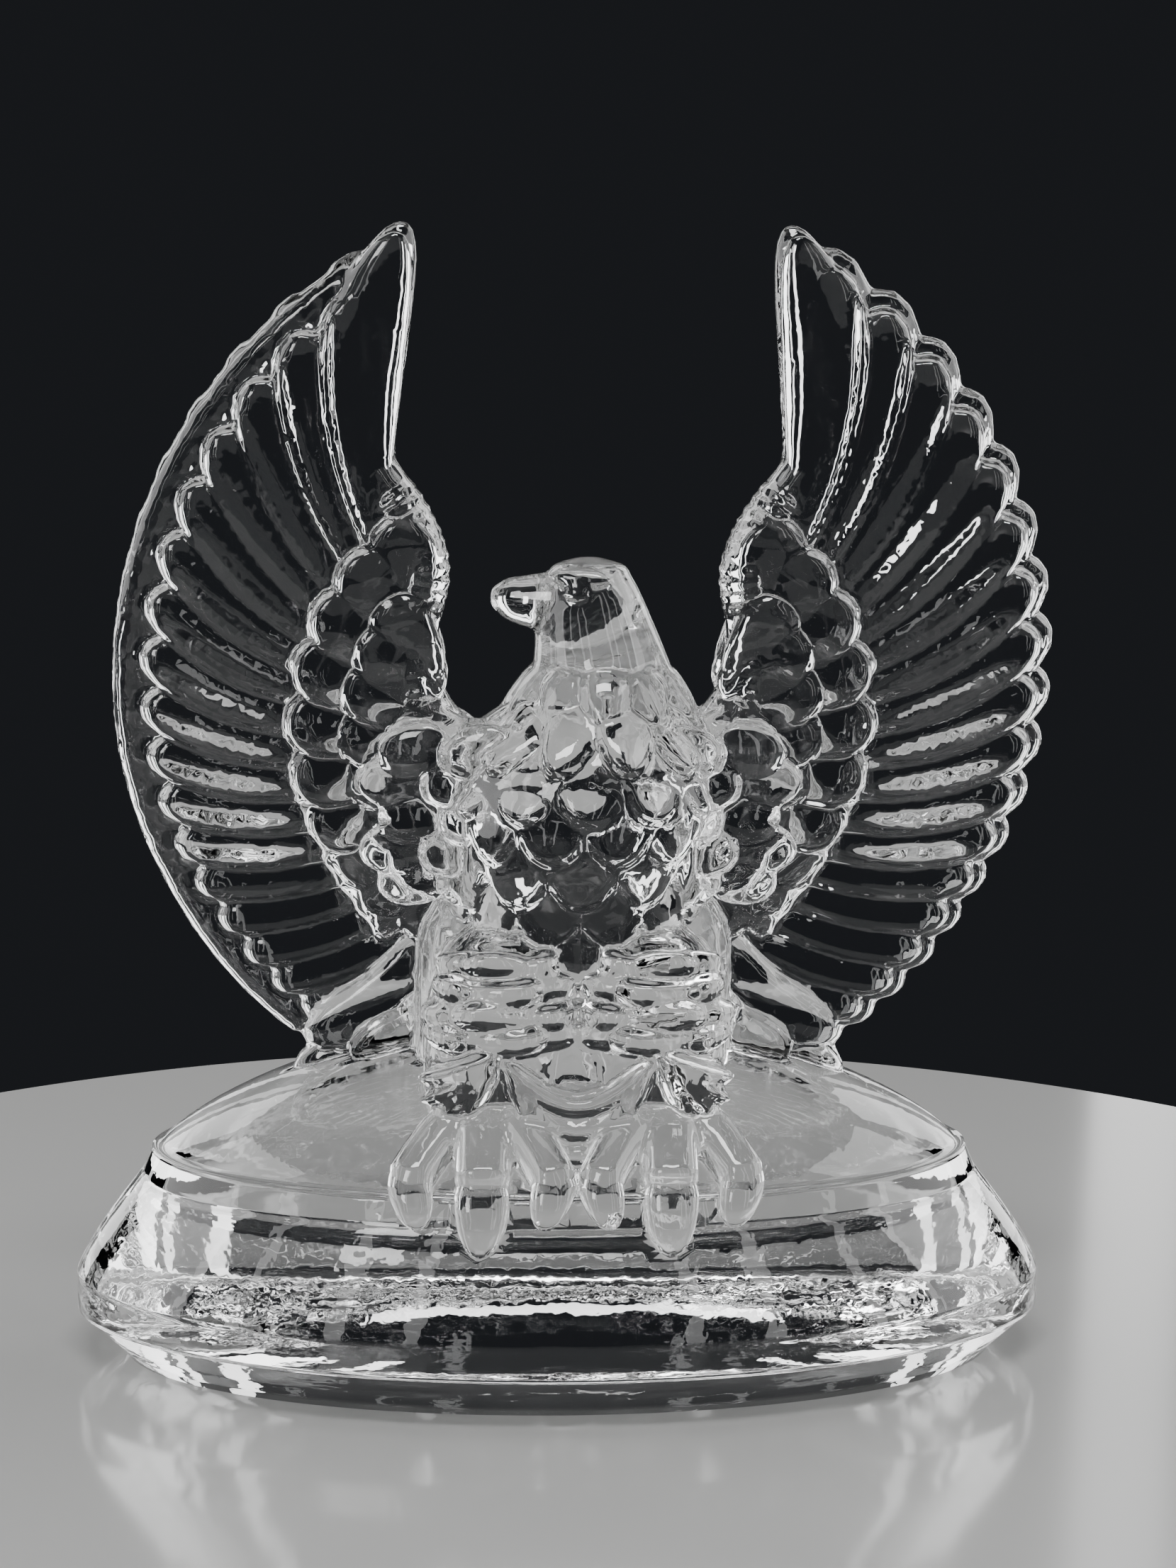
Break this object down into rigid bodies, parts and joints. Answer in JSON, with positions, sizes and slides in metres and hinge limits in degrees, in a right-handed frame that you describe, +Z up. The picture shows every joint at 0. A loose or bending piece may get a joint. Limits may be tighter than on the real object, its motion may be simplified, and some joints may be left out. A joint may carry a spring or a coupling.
{
  "type": "eagle figurine",
  "caption": "Clear pressed-crystal eagle figurine with raised spread wings, head in profile and talons over the rim of an oval domed plinth, cast in one piece.",
  "frame": {"origin": "centre of the plinth's flat underside, on the surface it stands on", "axes": "+Z up, +X to the right of a viewer who faces the bird's chest, +Y away from that viewer, so the chest faces -Y and the beak points to -X"},
  "size_m": [0.128, 0.067, 0.1451],
  "materials": {
    "clear_glass": "fire-polished clear crystal"
  },
  "bodies": {
    "root": {"eagle_figurine": "clear_glass"}
  },
  "joints": []
}
